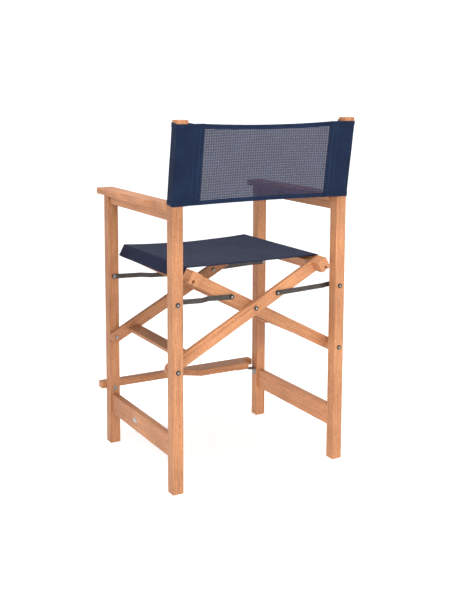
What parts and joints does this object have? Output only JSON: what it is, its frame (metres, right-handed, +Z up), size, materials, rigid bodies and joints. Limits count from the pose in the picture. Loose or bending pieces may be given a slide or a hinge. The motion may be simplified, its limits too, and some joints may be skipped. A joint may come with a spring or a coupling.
{
  "type": "folding director chair",
  "caption": "Counter-height folding director chair: hardwood side frames, X legs with steel links, mesh back sling, fabric seat and a lift-up front footrest.",
  "frame": {"origin": "on the floor, midway between the four posts' outlines, under the centre of the bounding box", "axes": "+Z up, +Y towards the chair's front (the footrest side), +X towards the sitter's right side frame"},
  "size_m": [0.58, 0.5329, 1.005],
  "materials": {
    "teak": "oiled satin hardwood, straight grain",
    "dark_steel": "dark grey coated strap, satin",
    "zinc_steel": "stainless fasteners, satin",
    "seat_fabric": "navy woven sling cloth, matt",
    "sleeve_fabric": "navy woven cloth, matt, stitched",
    "back_mesh": "navy open mesh, see-through weave",
    "rod_plastic": "plain extruded rod",
    "plate": "blank anodised plate"
  },
  "bodies": {
    "left_frame": {"left_rear_post": "teak", "left_front_post": "teak", "left_lower_stretcher": "teak", "left_arm_rail": "teak", "left_armrest": "teak", "left_leg_pivot_bolts": "zinc_steel", "left_leg_pivot_nuts": "zinc_steel", "left_link_post_bolts": "zinc_steel", "left_link_post_nuts": "zinc_steel", "left_leg_washers": "zinc_steel", "left_plain_plate": "plate", "footrest_peg_bolt": "zinc_steel", "back_sling_left_sleeve": "sleeve_fabric", "back_sling_panel": "back_mesh"},
    "right_frame": {"right_rear_post": "teak", "right_front_post": "teak", "right_lower_stretcher": "teak", "right_arm_rail": "teak", "right_armrest": "teak", "right_leg_pivot_bolts": "zinc_steel", "right_leg_pivot_nuts": "zinc_steel", "right_link_post_bolts": "zinc_steel", "right_link_post_nuts": "zinc_steel", "right_leg_spacers": "teak", "right_link_spacers": "zinc_steel", "footrest_bracket": "zinc_steel", "footrest_bracket_screws": "zinc_steel", "footrest_hinge_pin": "zinc_steel", "back_sling_right_sleeve": "sleeve_fabric"},
    "outer_leg_frame": {"outer_rear_leg": "teak", "outer_front_leg": "teak", "outer_leg_stretcher": "teak", "outer_link_nuts": "zinc_steel", "right_seat_rail": "teak", "right_seat_rod": "rod_plastic", "right_rail_brackets": "zinc_steel", "right_bracket_screws": "zinc_steel", "cross_pivot_bolts": "zinc_steel", "cross_pivot_nuts": "zinc_steel", "seat_sling": "seat_fabric"},
    "inner_leg_frame": {"inner_rear_leg": "teak", "inner_front_leg": "teak", "inner_leg_stretcher": "teak", "inner_link_nuts": "zinc_steel", "left_seat_rail": "teak", "left_seat_rod": "rod_plastic", "left_rail_brackets": "zinc_steel", "left_bracket_screws": "zinc_steel"},
    "left_rear_brace": {"left_rear_link": "dark_steel", "left_rear_link_bolt": "zinc_steel"},
    "left_front_brace": {"left_front_link": "dark_steel", "left_front_link_bolt": "zinc_steel"},
    "right_rear_brace": {"right_rear_link": "dark_steel", "right_rear_link_bolt": "zinc_steel"},
    "right_front_brace": {"right_front_link": "dark_steel", "right_front_link_bolt": "zinc_steel"},
    "footrest": {"footrest_board": "teak", "footrest_hinge_leaf": "zinc_steel"}
  },
  "joints": [
    {"name": "fold", "type": "hinge", "parent": "left_frame", "child": "outer_leg_frame", "pos_m": [-0.26, 0, 0.337], "axis": [0, -1, 0], "range_deg": [0, 45.75], "deforming": ["back_sling_panel", "back_sling_left_sleeve", "back_sling_right_sleeve"]},
    {"name": "cross_pivot", "type": "hinge", "parent": "outer_leg_frame", "child": "inner_leg_frame", "pos_m": [0, 0, 0.47524], "axis": [0, 1, 0], "range_deg": [0, 100.05], "deforming": ["seat_sling"]},
    {"name": "right_leg_pivot", "type": "hinge", "parent": "inner_leg_frame", "child": "right_frame", "pos_m": [0.26, 0, 0.337], "axis": [0, -1, 0], "range_deg": [0, 45.8]},
    {"name": "left_rear_brace_pivot", "type": "hinge", "parent": "left_frame", "child": "left_rear_brace", "pos_m": [-0.26, -0.2, 0.52], "axis": [0, -1, 0], "range_deg": [0, 70.5]},
    {"name": "left_front_brace_pivot", "type": "hinge", "parent": "left_frame", "child": "left_front_brace", "pos_m": [-0.26, 0.2, 0.52], "axis": [0, -1, 0], "range_deg": [0, 70.5]},
    {"name": "right_rear_brace_pivot", "type": "hinge", "parent": "right_frame", "child": "right_rear_brace", "pos_m": [0.26, -0.2, 0.52], "axis": [0, 1, 0], "range_deg": [0, 70.5]},
    {"name": "right_front_brace_pivot", "type": "hinge", "parent": "right_frame", "child": "right_front_brace", "pos_m": [0.26, 0.2, 0.52], "axis": [0, 1, 0], "range_deg": [0, 70.5]},
    {"name": "footrest_hinge", "type": "hinge", "parent": "right_frame", "child": "footrest", "pos_m": [0.219, 0.218, 0.1605], "axis": [0, 1, 0], "range_deg": [0, 90.05]}
  ],
  "couplings": [
    {"joint": "cross_pivot", "follows": "fold", "ratio": 2.1858},
    {"joint": "right_leg_pivot", "follows": "fold", "ratio": 1},
    {"joint": "left_rear_brace_pivot", "follows": "fold", "ratio": 1.5388},
    {"joint": "left_front_brace_pivot", "follows": "fold", "ratio": 1.5388},
    {"joint": "right_rear_brace_pivot", "follows": "fold", "ratio": 1.5388},
    {"joint": "right_front_brace_pivot", "follows": "fold", "ratio": 1.5388},
    {"joint": "footrest_hinge", "follows": "fold", "ratio": 1.9672}
  ]
}
